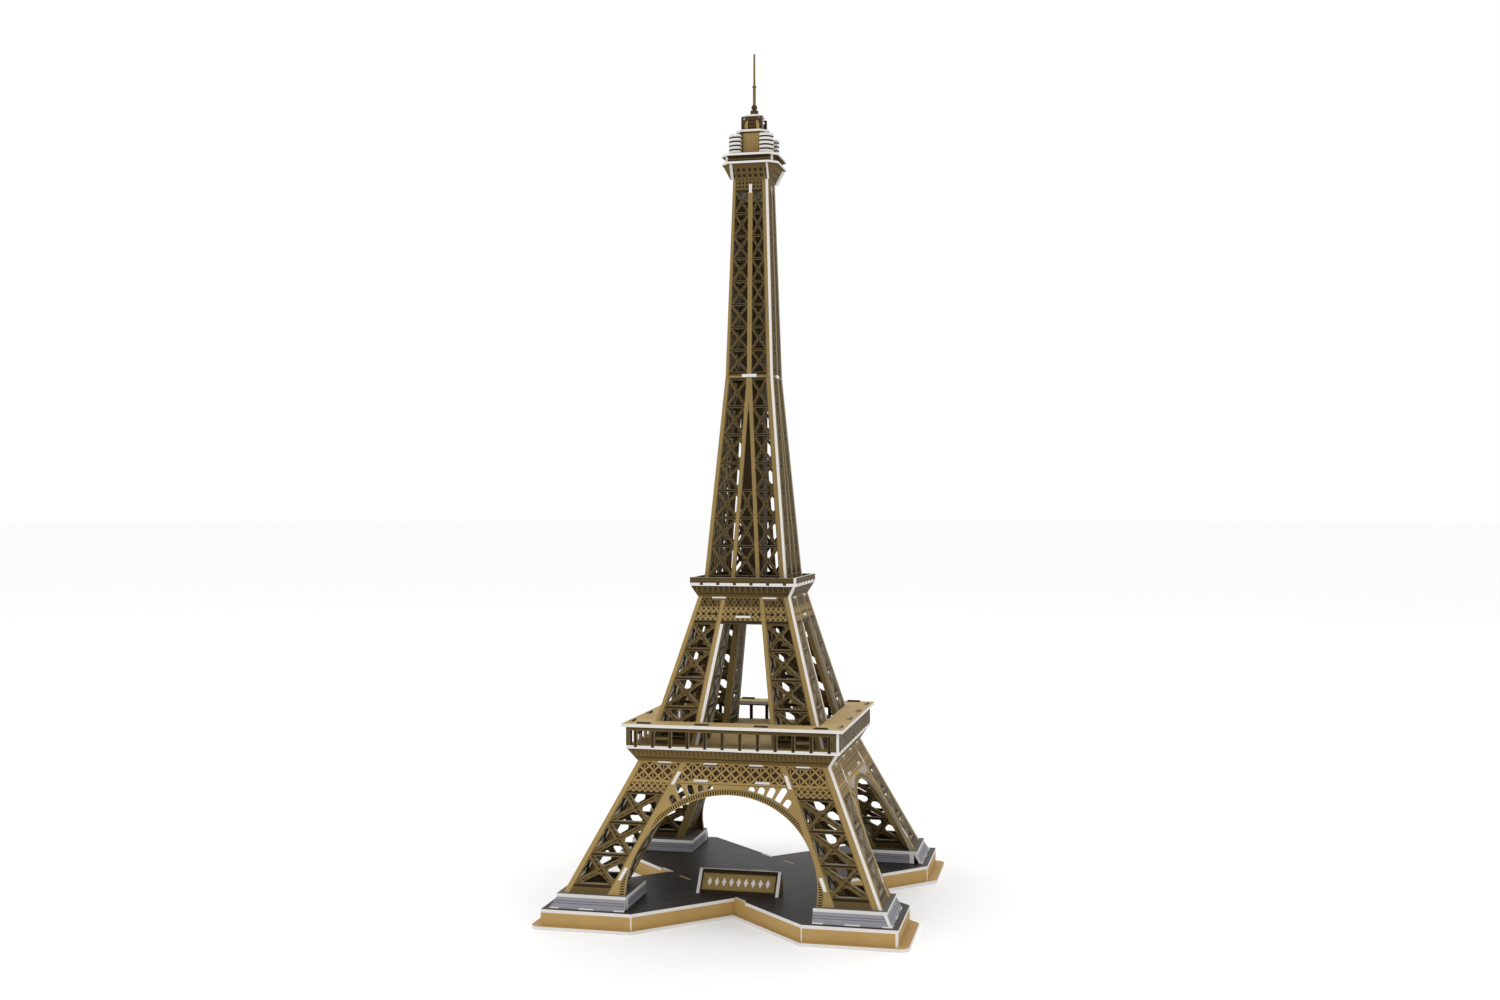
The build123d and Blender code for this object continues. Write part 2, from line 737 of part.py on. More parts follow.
def shaft_upper():
    """One side of the upper shaft: two crossed columns on a middle strip."""
    foot, top, run = shaft_joint, shaft_top, upper_shaft.run
    rails = [upper_rail_first + upper_rail_pitch * index for index in range(upper_bays + 1)]
    tab = joint_tab_half + play
    cut = foot + board / 2 + play
    outline = [(-upper_shaft.half(foot), foot), (-tab, foot), (-tab, cut), (tab, cut), (tab, foot),
               (upper_shaft.half(foot) - run, foot), (upper_shaft.half(top) - run, top),
               (-upper_shaft.half(top), top)]
    holes = column(lambda z: upper_strip - upper_shaft.half(z), constant(-centre_strip),
                   rails, *upper_lattice)
    holes += column(constant(centre_strip), lambda z: upper_shaft.half(z) - run - upper_strip,
                    rails, *upper_lattice)
    holes.append(tab_slot(constant(-board / 2), constant(board / 2), *spread_slot))
    return upper_shaft.front(outline, holes)


def mid_shaft_plate():
    """Square plate that joins the two shafts, with a tab in each side and a hole for the core."""
    bottom = shaft_joint - board / 2
    half = upper_shaft.half(bottom + board) - upper_shaft.run - tie_room
    outline = []
    for step in range(4):
        reach = upper_shaft.half(bottom + board)
        side = [(-half, -half), (-joint_tab_half, -half), (-joint_tab_half, -reach),
                (joint_tab_half, -reach), (joint_tab_half, -half)]
        outline += [turn(x, y, step) for x, y in side]
    return level_board(outline, bottom, holes=[square(core_half + tie_room)])


def core_wall():
    return block((-core_half, -core_half, upper_deck_top), (core_half - board, board - core_half, core_top))


def shaft_spreader():
    """Two boards halved into a cross on top of the core, with a tab through each side of the shaft."""
    low, high = core_top, shaft_top
    run = upper_shaft.run
    inside = upper_shaft.half(high) - run - tie_room
    tab_low, tab_high = spread_slot
    reach = upper_shaft.half(tab_high)
    side = [(-inside, low), (inside, low), (inside, tab_low), (reach, tab_low), (reach, tab_high),
            (inside, tab_high), (inside, high), (-inside, high), (-inside, tab_high),
            (-reach, tab_high), (-reach, tab_low), (-inside, tab_low)]
    plank = cut_board(side, (), lambda x, z: Vector(x, -board / 2, z), (0, board, 0))
    half_way = (low + high) / 2
    slot = board / 2 + play
    lower_half = block((-slot, -board, low - 1), (slot, board, half_way))
    upper_half = block((-slot, -board, half_way), (slot, board, high + 1))
    return [plank - upper_half, turned(plank - lower_half, 1)]


# ---- Third platform, cabin and mast ----

def eight_walls(low, high, half_low, half_high, side):
    """Four square-on boards and four boards across the corners, whose edges show beside them."""
    slope = Slope(low, half_low, high, half_high)
    outline = [(-side, low), (side, low), (side, high), (-side, high)]
    if half_low - slope.run < side:      # near its foot a board stops at its neighbour's back
        clear = low + (side + slope.run - half_low) / slope.rate
        outline[1:2] = [(half_low - slope.run, low), (side, clear)]
    front = slope.front(outline)
    across = slope.run / 2 ** 0.5

    def corner_place(share, z):
        half = slope.half(z)
        return Vector(side + (half - side) * share, -half + (half - side) * share, z)

    corner = cut_board([(0, low), (1, low), (1, high), (0, high)], (), corner_place, (across, -across, 0))
    return all_round(front) + all_round(corner)


fascia_bottom = flare_top + thin_board
fascia_top = fascia_bottom + fascia_height
cabin_floor = fascia_top + thin_board
cabin_top = cabin_floor + cabin_height


def top_decks():
    outline = octagon(top_deck_half, top_deck_side)
    return [level_board(outline, bottom, thin_board) for bottom in (flare_top, fascia_top)]


def top_fascia():
    """Box between the two decks; the left and right boards cover the ends of the other two."""
    inner = fascia_half - thin_board
    front = block((-inner, -fascia_half, fascia_bottom), (inner, -inner, fascia_top))
    right = block((inner, -fascia_half, fascia_bottom), (fascia_half, fascia_half, fascia_top))
    return [front, turned(front, 2), right, turned(right, 2)]


def cabin_walls():
    """Four panels standing clear of each other."""
    return all_round(block((-cabin_panel_half, -cabin_reach, cabin_floor),
                           (cabin_panel_half, thin_board - cabin_reach, cabin_top)))


def corner_discs():
    """Round boards in the four corners between the panels, each cut square to fit."""
    discs = []
    fit = -cabin_panel_half - play
    for level in range(disc_count):
        bottom = cabin_floor + disc_first + disc_pitch * level
        disc = Pos(-disc_centre, -disc_centre, bottom) * Cylinder(
            disc_radius, disc_board, align=(Align.CENTER, Align.CENTER, Align.MIN))
        quadrant = block((-2 * disc_centre, -2 * disc_centre, bottom), (fit, fit, bottom + board))
        discs += all_round(disc & quadrant)
    return discs


def cabin_roof():
    return level_board(octagon(roof_plate_half, roof_plate_side), cabin_top, thin_board)


cupola_floor = cabin_top + thin_board
cupola_top = cupola_floor + cupola_height


def cupola():
    """Front and back boards, open in their two upper corners, with a spacer standing between them."""
    low, high, half, clip = cupola_floor, cupola_top, cupola_half, cupola_clip
    outline = [(-half, low), (half, low), (half, high - clip), (half - clip, high),
               (clip - half, high), (-half, high - clip)]
    opening = [(5.4, high - 1.3), (7.9, high - 4.0), (7.9, high - 1.3)]
    wall = cut_board(outline, [opening, mirrored(opening)], lambda x, z: Vector(x, -half, z),
                     (0, thin_board, 0))
    reach = half - thin_board
    spacer = block((-thin_board / 2, -reach, low), (thin_board / 2, reach, high))
    return [wall, turned(wall, 2), spacer]


def turned_piece(rings):
    """Round piece on the tower's axis, from its radius and height ring by ring."""
    profile = [(0, rings[0][1])] + rings + [(0, rings[-1][1])]
    face = Face(Wire.make_polygon([Vector(r, 0, z) for r, z in profile]))
    return revolve(face, Axis.Z)


cap_top = cupola_top + thin_board
base_disc_radius, base_disc_height = 3.7, 5.2
knob_top = cap_top + 10.3


def mast_base():
    disc = turned_piece([(base_disc_radius, cap_top), (base_disc_radius, cap_top + base_disc_height)])
    low = cap_top + base_disc_height
    knob = turned_piece([(1.7, low), (1.7, low + 1.2), (2.6, low + 1.8), (2.8, low + 3.4),
                         (2.1, knob_top), (1.9, knob_top)])
    return [disc, knob]


def antenna():
    step = knob_top + 16.0
    return turned_piece([(1.4, knob_top), (1.35, step), (1.9, step + 0.6), (1.9, step + 1.8),
                         (1.0, step + 2.6), (0.85, total_height - 0.8), (0.4, total_height)])


# ---- Assembly ----

ends, notches = base_walls()
ribs, rib_slots = [], []
for step in range(4):
    rib, slots = neck_rib(step)
    ribs.append(rib)
    rib_slots += slots
for side in (-1, 1):
    rib, slot = cross_rib(side)
    ribs.append(rib)
    rib_slots.append(slot)
deck_cuts = rib_slots + nameplate_slots()
deck_cuts += [level_board(edge_tab_outline(step, play), skirt_top - 1, board + 2) for step in range(4)]

nodes = {
    "base_plate": base_plate(),
    "base_deck": level_board(base_outline, skirt_top) - deck_cuts,
    "base_end_walls": ends,
    "base_notch_walls": notches,
    "base_ribs": ribs,
    "nameplate": nameplate(),
    "nameplate_props": nameplate_props(),
    "plinth_walls": [wall for step in range(4) for wall in plinth_walls(step)],
    "plinth_caps": [plinth_cap(step) for step in range(4)],
    "lower_tie_plates": lower_tie_plates(),
    "lower_cornice": all_round(cornice(lower_cornice, lower_top, cornice_top)),
    "gallery_floor": gallery_floor(),
    "gallery_roof": gallery_roof(),
    "middle_tie_plates": middle_tie_plates(),
    "middle_cornice": all_round(cornice(upper_cornice, middle_top, upper_cornice_top)),
    "middle_deck": middle_deck(),
    "middle_parapet": all_round(parapet()),
    "mid_shaft_plate": mid_shaft_plate(),
    "core_walls": all_round(core_wall()),
    "shaft_spreader": shaft_spreader(),
    "top_cornice": eight_walls(shaft_top, flare_top, shaft_half_top, flare_half, panel_half),
    "top_decks": top_decks(),
    "top_fascia": top_fascia(),
    "cabin_walls": cabin_walls(),
    "corner_discs": corner_discs(),
    "cabin_roof": cabin_roof(),
    "cupola": cupola(),
    "cupola_cap": turned_piece([(cap_radius, cupola_top), (cap_radius, cap_top)]),
    "mast_base": mast_base(),
    "antenna_mast": antenna(),
}
for step, side in enumerate(sides):
    nodes[f"lower_facade_{side}"] = turned(lower_facade(), step)
    nodes[f"gallery_arcade_{side}"] = turned(gallery_arcade(), step)
    nodes[f"middle_facade_{side}"] = turned(middle_facade(), step)
    nodes[f"shaft_lower_{side}"] = turned(shaft_lower(), step)
    nodes[f"shaft_upper_{side}"] = turned(shaft_upper(), step)
for step, corner in enumerate(corners):
    nodes[f"lower_leg_{corner}"] = [turned(panel, step) for panel in lower_leg_inner()]
    nodes[f"middle_leg_{corner}"] = [turned(panel, step) for panel in middle_leg_inner()]

os.makedirs("parts", exist_ok=True)
for name, shape in nodes.items():
    export_step(Compound(children=shape) if isinstance(shape, list) else shape, f"parts/{name}.step")
print(len(nodes), "nodes")
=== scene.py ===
import math

import bmesh
import bpy
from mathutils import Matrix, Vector

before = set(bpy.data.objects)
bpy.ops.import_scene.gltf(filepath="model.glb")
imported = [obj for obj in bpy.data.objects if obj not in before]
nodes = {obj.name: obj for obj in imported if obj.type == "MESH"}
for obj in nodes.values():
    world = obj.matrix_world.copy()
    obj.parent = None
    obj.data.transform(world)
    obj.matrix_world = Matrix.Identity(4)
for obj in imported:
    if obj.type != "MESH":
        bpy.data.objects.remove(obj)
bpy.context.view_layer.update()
print("frame loaded,", len(nodes), "nodes")

# Lengths in the print settings are millimetres, heights are measured from the table.
# A dotSquare is the square of a dot's radius. A run is the cut edge of the next board at a corner,
# and a lap is what that edge takes from the width of a panel.
gauge = 2.8  # thickness of the foam board
foamRough = 0.88  # roughness of its cut edges
# painted shade on the backs of the boards
backShadeLevel = 0.62  # the backs of the boards against their fronts


def ink(red, green, blue):
    # a print colour as it reads on paper, made linear
    def linear(level):
        level /= 255
        return level / 12.92 if level <= 0.04045 else ((level + 0.055) / 1.055) ** 2.4
    return linear(red), linear(green), linear(blue)


inks = {
    "gold": ink(154, 129, 79),
    "goldDark": ink(112, 92, 51),
    "olive": ink(92, 75, 41),
    "oliveDark": ink(66, 53, 28),
    "umber": ink(40, 30, 16),
    "redBrown": ink(56, 34, 16),
    "tan": ink(172, 141, 87),
    "warmTan": ink(178, 152, 101),
    "charcoal": ink(47, 43, 39),
    "slate": ink(136, 135, 141),
    "slateDark": ink(100, 99, 104),
    "capGrey": ink(92, 88, 81),
    "foam": ink(213, 210, 206),
    # painted shade for the cut foam edges inside the small openings, lower and higher on the tower
    "shadedCutLow": ink(150, 141, 124),
    "shadedCutHigh": ink(112, 101, 78),
    "shadow": ink(84, 78, 80),
    "bronze": ink(112, 92, 58),
}


class Field:
    # a socket of a material that adds, multiplies and compares like a number
    def __init__(self, finish, socket):
        self.finish, self.socket = finish, socket

    def maths(self, operation, *values, clamp=False):
        settings = {"operation": operation, "use_clamp": clamp}
        return self.finish.node("ShaderNodeMath", settings, dict(enumerate(values)))

    def __add__(self, other):
        return self.maths("ADD", self, other)

    def __radd__(self, other):
        return self.maths("ADD", other, self)

    def __sub__(self, other):
        return self.maths("SUBTRACT", self, other)

    def __rsub__(self, other):
        return self.maths("SUBTRACT", other, self)

    def __mul__(self, other):
        return self.maths("MULTIPLY", self, other)

    def __rmul__(self, other):
        return self.maths("MULTIPLY", other, self)

    def __truediv__(self, other):
        return self.maths("DIVIDE", self, other)

    def __abs__(self):
        return self.maths("ABSOLUTE", self)

    def __gt__(self, limit):
        return self.maths("GREATER_THAN", self, limit)

    def __lt__(self, limit):
        return self.maths("LESS_THAN", self, limit)

    def least(self, other):
        return self.maths("MINIMUM", self, other)

    def most(self, other):
        return self.maths("MAXIMUM", self, other)

    def sign(self):
        return self.maths("SIGN", self)

    def root(self):
        return self.maths("SQRT", self)

    def fraction(self):
        return self.maths("FRACT", self)

    def every(self, pitch):
        # distance to the nearest of a row of lines
        return self.maths("PINGPONG", self, pitch / 2)

    def under(self, limit, soft=0.25):
        # 1 where the value is below the limit, with a soft edge
        return self.maths("MULTIPLY_ADD", self, -1 / soft, limit / soft + 0.5, clamp=True)

    def over(self, limit, soft=0.25):
        return self.maths("MULTIPLY_ADD", self, 1 / soft, 0.5 - limit / soft, clamp=True)

    def between(self, low, high, soft=0.25):
        return abs(self - (low + high) / 2).under((high - low) / 2, soft)


class Finish:
    # one material, with the point and the facing of the surface ready to use
    def __init__(self, name):
        self.material = bpy.data.materials.new(name)
        self.material.use_nodes = True
        self.tree = self.material.node_tree
        self.tree.nodes.clear()
        place = self.node("ShaderNodeTexCoord", {}, {}, "Object")
        self.place = self.node("ShaderNodeVectorMath", {"operation": "SCALE"}, {0: place, "Scale": 1000.0})
        facing = self.node("ShaderNodeTexCoord", {}, {}, "Normal")
        self.x, self.y, self.z = self.parts(self.place)
        self.nx, self.ny, self.nz = self.parts(facing)

    def node(self, kind, settings, sockets, output=0):
        made = self.tree.nodes.new(kind)
        for name, setting in settings.items():
            if name == "stops":
                # the first and the last stop are a new ramp's own
                for position, level in setting[1:-1]:
                    made.color_ramp.elements.new(position).color = (level, level, level, 1.0)
            else:
                setattr(made, name, setting)
        for key, value in sockets.items():
            socket = made.inputs[key]
            if isinstance(value, Field):
                self.tree.links.new(value.socket, socket)
            else:
                socket.default_value = (*value, 1.0) if socket.type == "RGBA" else value
        return Field(self, made.outputs[output]) if made.outputs else None

    def parts(self, vector):
        return [self.node("ShaderNodeSeparateXYZ", {}, {0: vector}, axis) for axis in "XYZ"]

    def blend(self, mask, under, over):
        return self.node("ShaderNodeMix", {"data_type": "RGBA"}, {0: mask, 6: under, 7: over}, 2)

    def tinted(self, colour, level):
        # the colour, lighter or darker by a number
        return self.node("ShaderNodeVectorMath", {"operation": "SCALE"}, {0: colour, "Scale": level})

    def noise(self, scale, detail=2.0, stretch=(1.0, 1.0, 1.0)):
        point = self.node("ShaderNodeMapping", {}, {"Vector": self.place, "Scale": stretch})
        sockets = {"Vector": point, "Scale": scale, "Detail": detail}
        return self.node("ShaderNodeTexNoise", {}, sockets, "Fac")

    def done(self, colour, printed, gloss=0.58, metal=0.0, bare=inks["foam"]):
        # print on a paper face, bare foam on a cut edge; callers darken the cut edges inside openings with
        # painted shade through bare
        mottle = self.noise(0.045, 3.0) * 0.22 + 0.89
        grain = self.noise(2.2, 2.0)
        cells = self.noise(3.4, 3.0)
        foam = self.tinted(bare, cells * 0.14 + 0.93)
        shown = self.blend(printed, foam, self.tinted(colour, mottle * (grain * 0.12 + 0.94)))
        rough = printed * (gloss - foamRough + grain * 0.14) + foamRough
        height = printed * (grain * 0.25 - cells) + cells
        normal = self.node("ShaderNodeBump", {}, {"Strength": 0.22, "Distance": 0.00012, "Height": height})
        shader = self.node("ShaderNodeBsdfPrincipled", {}, {
            "Base Color": shown, "Roughness": rough, "Normal": normal,
            "Metallic": metal, "Specular IOR Level": 0.14})
        self.node("ShaderNodeOutputMaterial", {}, {"Surface": shader})
        return self.material


class Side:
    # where a point lies on the nearest of the four sides: along it, out from the axis, print or edge
    def __init__(self, finish, run=gauge):
        x, y = finish.x, finish.y
        flatX, flatY = abs(x), abs(y)
        onY = flatY > flatX
        onX = 1 - onY
        outwardX, outwardY = x.sign(), y.sign()
        self.out = flatX.most(flatY)
        self.along = onX * outwardX * y - onY * outwardY * x
        self.facing = onX * outwardX * finish.nx + onY * outwardY * finish.ny
        self.outside = self.facing > 0
        atEnd = self.along > self.out - run + 0.45
        self.printed = (abs(self.facing) > 0.3) * (1 - atEnd * self.outside)
        self.off = abs(self.along)
        self.fromEdge = (self.out + self.along).least(self.out - run - self.along)
        # painted shade: the long cut edges at the corners stay foam white, those of the small openings are
        # darkened
        self.corner = atEnd.most(self.fromEdge.under(0.35))


lattice = {
    "dashPitch": 3.4, "dashGap": 0.55, "dashHalf": 0.3, "rimFrom": 0.66, "rimTo": 0.95,
    "railRimFrom": 0.55, "barCosine": 0.72,
}


class Bays:
    # crossed bays between two edges: how far a point is from the nearest bar and from the nearest rail
    def __init__(self, finish, start, width, taper, rails):
        span = rails[-1] - rails[0]
        count = len(rails) - 1
        share = (finish.z - rails[0]) / span
        stops = [((rail - rails[0]) / span, index / count) for index, rail in enumerate(rails)]
        climb = finish.node("ShaderNodeValToRGB", {"stops": stops}, {0: share}) * count
        rise = climb.fraction()
        bay = span / count
        # the bars stay straight while the bay narrows upwards
        bent = rise * ((1 - rise) * (taper * bay) / width + 1)
        across = start / width
        apart = abs(across - bent).least(abs(across + bent - 1))
        self.bar = apart * width * lattice["barCosine"]
        self.rail = climb.every(1.0) * bay


def line(height, foot, footHalf, top, topHalf):
    # half width of a straight leaning side at a height
    rate = (topHalf - footHalf) / (top - foot)
    return height * rate + (footHalf - rate * foot)


def latticePrint(finish, bays, foot, barHalf, railHalf):
    # bars with a dark broken middle and lighter rims, dark rails, and plain olive under the first rail
    s = lattice
    dash = finish.z.every(s["dashPitch"]).over(s["dashGap"])
    bar = finish.blend(bays.bar.under(barHalf * s["dashHalf"]) * dash, inks["olive"], inks["umber"])
    barRim = bays.bar.between(barHalf * s["rimFrom"], barHalf * s["rimTo"])
    bar = finish.blend(barRim, bar, inks["goldDark"])
    railRim = bays.rail.between(railHalf * s["railRimFrom"], railHalf * s["rimTo"])
    rail = finish.blend(railRim, inks["umber"], inks["goldDark"])
    colour = finish.blend(bays.rail.under(railHalf), bar, rail)
    return finish.blend(finish.z.under(foot - railHalf), colour, inks["olive"])


def diamonds(finish, along, height, pitch, rib, hole):
    # two slanting rows of ribs, with an upright in the diamonds beside the middle row
    rising = (along + height + pitch / 2).every(pitch)
    falling = (along - height + pitch / 2).every(pitch)
    upright = (along + pitch / 2).every(pitch).under(rib * 0.4)
    beside = (abs(height) - pitch / 2).between(-pitch / 4, pitch / 4)
    ribs = rising.least(falling).under(rib).most(upright * beside)
    return finish.blend(ribs, hole, inks["gold"])


def shaded(finish, side, colour, level=1.0):
    # painted shade: each board darkens a little towards its right-hand end as seen from outside, and the
    # backs of the boards are darker
    across = side.along.over(6.0, 50.0) * 0.16
    return finish.tinted(colour, (side.outside * (1 - backShadeLevel) + backShadeLevel) * (level - across))


# Lower stage: two leg faces with the arch between them
lowerStage = {
    "foot": 28.0, "top": 134.7, "footHalf": 137.7, "topHalf": 86.6,
    "legWidth": 45.2, "strip": 5.4, "innerStrip": 6.3,
    "rails": (34.4, 58.6, 84.2, 109.0), "barHalf": 2.1, "railHalf": 1.5,
    "run": 3.1, "lap": 3.1, "rim": 0.9, "backStrip": 7.6, "backShade": 0.62, "backTaper": 0.0,
    "archRadius": 83.0, "archCentre": 34.7, "archLean": 0.902, "archRing": 5.2,
    "ringRim": 1.0, "toothPitch": 2.1, "toothHalf": 0.62,
    "bandFoot": 119.7, "bandTop": 133.9, "bandShift": 3.3, "hatchFoot": 108.4, "hatch": 5.35,
    "hatchMiddle": 114.6, "hatchShift": 1.2,
    "diamond": 8.75, "backPanel": 0.8,
}


def lean(s):
    # outer side of a stage, in the order that line takes
    return s["foot"], s["footHalf"], s["top"], s["topHalf"]


def legInside():
    # edge of a leg's inner panel towards the arch
    s = lowerStage
    inset = s["legWidth"] - s["backPanel"]
    return s["foot"], s["footHalf"] - inset, s["top"], s["topHalf"] - inset


def makeLowerFacade():
    s = lowerStage
    finish = Finish("lowerFacadePrint")
    z = finish.z
    side = Side(finish, s["run"])
    half = line(z, *lean(s))
    inner = side.off - (half - s["legWidth"])
    width = s["legWidth"] - s["innerStrip"] - s["strip"]
    bays = Bays(finish, inner - s["innerStrip"], width, 0.0, s["rails"])
    onLeg = inner.over(0.0)
    strips = inner.between(0.0, s["innerStrip"]).most(side.fromEdge.under(s["strip"]))
    stripRim = inner.between(s["innerStrip"] - s["rim"], s["innerStrip"]).most(
        side.fromEdge.between(s["strip"] - s["rim"], s["strip"]))
    colour = latticePrint(finish, bays, s["rails"][0], s["barHalf"], s["railHalf"])
    # upper part of the legs
    hatch = diamonds(finish, side.along - s["hatchShift"], (z - s["hatchMiddle"]) * 1.1,
                     s["hatch"], 0.8, inks["redBrown"])
    hatch = finish.blend((z - s["hatchFoot"]).between(0.0, 1.3), hatch, inks["umber"])
    colour = finish.blend(z.over(s["hatchFoot"]), colour, hatch)
    band = diamonds(finish, side.along - s["bandShift"], (z - (s["bandFoot"] + s["bandTop"]) / 2) * 1.15,
                    s["diamond"], 1.1, inks["redBrown"])
    inBand = z.between(s["bandFoot"], s["bandTop"])
    colour = finish.blend(z.over(s["bandFoot"] - 1.6), colour, inks["gold"])
    colour = finish.blend(inBand, colour, band)
    colour = finish.blend(strips, colour, inks["gold"])
    colour = finish.blend(stripRim, colour, inks["goldDark"])
    # between the legs: band, arcade and arch ring
    up = (z - s["archCentre"]) / s["archLean"]
    reach = (side.off * side.off + up * up).root()
    turn = side.off.maths("ARCTAN2", side.along, up)
    ringOut = s["archRadius"] + s["archRing"]
    teeth = (turn * s["archRadius"]).every(s["toothPitch"]).under(s["toothHalf"])
    ring = finish.blend(teeth * reach.between(s["archRadius"] + s["rim"], ringOut - s["ringRim"]),
                        inks["gold"], inks["umber"])
    ring = finish.blend(reach.between(ringOut - s["ringRim"], ringOut), ring, inks["goldDark"])
    spandrel = finish.blend(reach.under(ringOut), inks["gold"], ring)
    spandrel = finish.blend(inBand, spandrel, band)
    spandrel = finish.blend(z.between(s["bandFoot"] - 2.4, s["bandFoot"] - 1.7), spandrel, inks["goldDark"])
    colour = finish.blend(onLeg, spandrel, colour)
    # painted shade on the cut edges of the small openings below the top rail
    bare = finish.blend(side.corner.most(z.over(s["rails"][-1])), inks["shadedCutLow"], inks["foam"])
    return finish.done(shaded(finish, side, colour), side.printed, bare=bare)


def makeLegPanel(name, s, opening):
    # inner panel of a leg, from the edge of the opening to the corner of the stage
    finish = Finish(name)
    x, y, z = abs(finish.x), abs(finish.y), finish.z
    thinX = x < y
    far = x.most(y)
    half = line(z, *lean(s))
    edge = line(z, *opening)
    inner = far - edge
    width = half - edge - s["lap"]
    clear = width - s["backStrip"] - s["strip"]
    bays = Bays(finish, inner - s["backStrip"], clear, s["backTaper"], s["rails"])
    strips = inner.under(s["backStrip"]).most((width - inner).under(s["strip"])).most(z.over(s["rails"][-1]))
    colour = latticePrint(finish, bays, s["rails"][0], s["barHalf"], s["railHalf"])
    colour = finish.blend(strips, colour, inks["gold"])
    printed = thinX * (abs(finish.nx) > 0.3) + (1 - thinX) * (abs(finish.ny) > 0.3)
    # painted shade on the cut edges away from the outer corner
    bare = finish.blend((half - far).under(0.4), inks["shadedCutLow"], inks["foam"])
    return finish.done(finish.tinted(colour, s["backShade"]), printed, bare=bare)


# Middle stage: two leg faces joined above the portal
middleStage = {
    "foot": 149.2, "top": 277.9, "footHalf": 79.4, "topHalf": 42.7,
    "portalFootHalf": 33.3, "portalTopHalf": 17.7, "portalTop": 253.8,
    "strip": 4.3, "rails": (154.5, 180.4, 205.7, 231.0, 254.6), "barHalf": 1.55, "railHalf": 1.4,
    "run": 2.91, "lap": 2.9, "rim": 0.8, "portalShift": 2.83,
    "backStrip": 5.8, "backShade": 0.58, "backTaper": -0.16,
    "dotFoot": 257.2, "dotTop": 268.2, "dotPitch": 5.7, "dotShift": 3.35, "dotSquare": 2.4,
    "panelFoot": 269.7, "panelTop": 276.7, "panelPitch": 7.9, "panelShift": 7.1,
    "weavePitch": 4.6, "ruleFoot": 254.7, "ruleTop": 256.8,
}


def portalEdge():
    # leaning side of the portal
    s = middleStage
    return s["foot"], s["portalFootHalf"], s["portalTop"], s["portalTopHalf"]


def makeMiddleFacade():
    s = middleStage
    finish = Finish("middleFacadePrint")
    z = finish.z
    side = Side(finish, s["run"])
    half = line(z, *lean(s))
    portal = line(z, *portalEdge())
    # the portal, like the board, reaches a board's thickness further on its left
    inner = side.off - portal - (side.along < 0) * s["portalShift"]
    width = half - portal - s["lap"] - 2 * s["strip"]
    taper = ((s["topHalf"] - s["footHalf"]) / (s["top"] - s["foot"])
             - (s["portalTopHalf"] - s["portalFootHalf"]) / (s["portalTop"] - s["foot"]))
    bays = Bays(finish, inner - s["strip"], width, taper, s["rails"])
    colour = latticePrint(finish, bays, s["rails"][0], s["barHalf"], s["railHalf"])
    # lattice band with dots, then a row of dark panels
    dotRise = z - (s["dotFoot"] + s["dotTop"]) / 2
    weave = diamonds(finish, side.along, dotRise, s["weavePitch"], 0.75, inks["oliveDark"])
    dotRun = (side.along - s["dotShift"]).every(s["dotPitch"])
    spot = (dotRun * dotRun + dotRise * dotRise).under(s["dotSquare"], 1.4)
    dots = finish.blend(spot, weave, inks["umber"])
    across = (side.along - s["panelShift"]).every(s["panelPitch"])
    steep = s["panelPitch"] / 2 / (s["panelTop"] - s["panelFoot"])
    cross = abs(across - (z - s["panelFoot"]) * steep).least(abs(across + (z - s["panelTop"]) * steep))
    panel = finish.blend(cross.least(across).under(0.4), inks["umber"], inks["goldDark"])
    top = finish.blend(z.over(s["panelFoot"] - 1.2), dots, inks["goldDark"])
    top = finish.blend(z.between(s["panelFoot"], s["panelTop"]), top, panel)
    top = finish.blend(z.under(s["dotFoot"]), top, inks["goldDark"])
    top = finish.blend(z.between(s["ruleFoot"], s["ruleTop"]), top, inks["umber"])
    colour = finish.blend(z.over(s["portalTop"] + 0.6), colour, top)
    strips = inner.between(0.0, s["strip"]).most(side.fromEdge.under(s["strip"]))
    rims = inner.between(s["strip"] - s["rim"], s["strip"]).most(
        side.fromEdge.between(s["strip"] - s["rim"], s["strip"]))
    colour = finish.blend(strips, colour, inks["gold"])
    colour = finish.blend(rims, colour, inks["goldDark"])
    bare = finish.blend(side.corner.most(z.over(s["portalTop"])), inks["shadedCutLow"], inks["foam"])
    return finish.done(shaded(finish, side, colour, 0.95), side.printed, bare=bare)


# Shaft
shaft = {
    "foot": 290.7, "joint": 479.4, "top": 660.0, "footHalf": 38.4, "jointHalf": 22.1, "topHalf": 16.4,
    "rails": (296.2, 323.4, 349.0, 374.2, 399.2, 425.0, 450.8, 476.4), "strip": 4.0, "barHalf": 1.15,
    "innerStrip": 3.5, "innerFoot": 11.7, "innerMeet": 1.75, "meetHeight": 458.0, "railHalf": 1.2,
    "upperFirst": 481.9, "upperPitch": 21.0, "upperBays": 8, "upperStrip": 3.1, "centreStrip": 2.1,
    "upperBarHalf": 1.0, "upperRailHalf": 1.1, "lowerRun": 2.81, "rim": 0.7, "capFoot": 477.2,
    "bandFoot": 648.6, "dotFoot": 651.0, "dotPitch": 3.4, "dotSquare": 1.15,
    "rowPitch": 3.6, "rowShift": 2.2,
}


